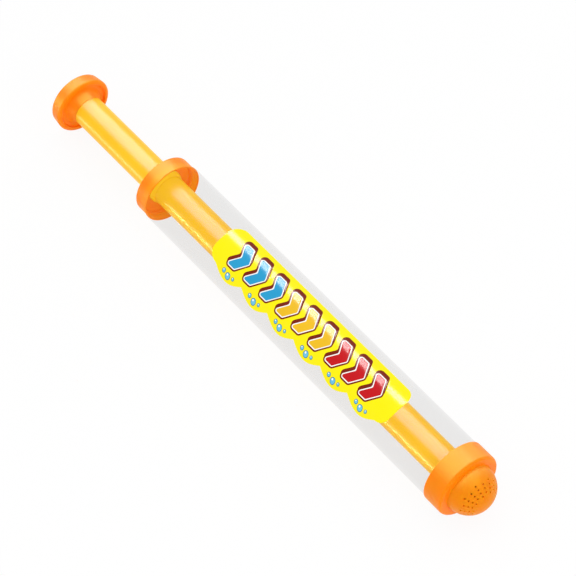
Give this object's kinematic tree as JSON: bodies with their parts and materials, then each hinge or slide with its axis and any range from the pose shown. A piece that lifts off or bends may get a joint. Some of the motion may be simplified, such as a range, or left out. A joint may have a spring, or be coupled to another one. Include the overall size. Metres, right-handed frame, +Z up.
{
  "type": "water squirter",
  "caption": "Toy water squirter: clear barrel with a domed sprinkler rose in front, and a pull plunger with a flared knob that slides through a rear guide cap.",
  "frame": {"origin": "bottom centre of the box round the part as it lies on its front collar, with the plunger pushed in", "axes": "+X along the barrel from the knob to the sprinkler rose, +Z up, +Y to the left when looking along +X"},
  "size_m": [0.3782, 0.0414, 0.0414],
  "materials": {
    "clear_barrel": "gloss",
    "cap_orange": "satin",
    "rod_yellow": "gloss",
    "label_film": "gloss",
    "seal_rubber": "matte"
  },
  "bodies": {
    "barrel": {"barrel_tube": "clear_barrel", "barrel_label": "label_film", "rear_cap": "cap_orange", "rod_guide_bush": "rod_yellow", "front_collar": "cap_orange", "spray_rose": "cap_orange", "rose_gasket": "seal_rubber"},
    "seal": {"piston_seal": "seal_rubber"},
    "plunger": {"plunger_rod": "rod_yellow", "pull_knob": "cap_orange", "piston_head": "cap_orange"}
  },
  "joints": [
    {"name": "plunger_slide", "type": "slide", "parent": "barrel", "child": "seal", "axis": [-1, 0, 0], "range_m": [0, 0.2565]},
    {"name": "plunger_twist", "type": "hinge", "parent": "seal", "child": "plunger", "pos_m": [0.16475, 0, 0.0207], "axis": [1, 0, 0], "continuous": true}
  ]
}
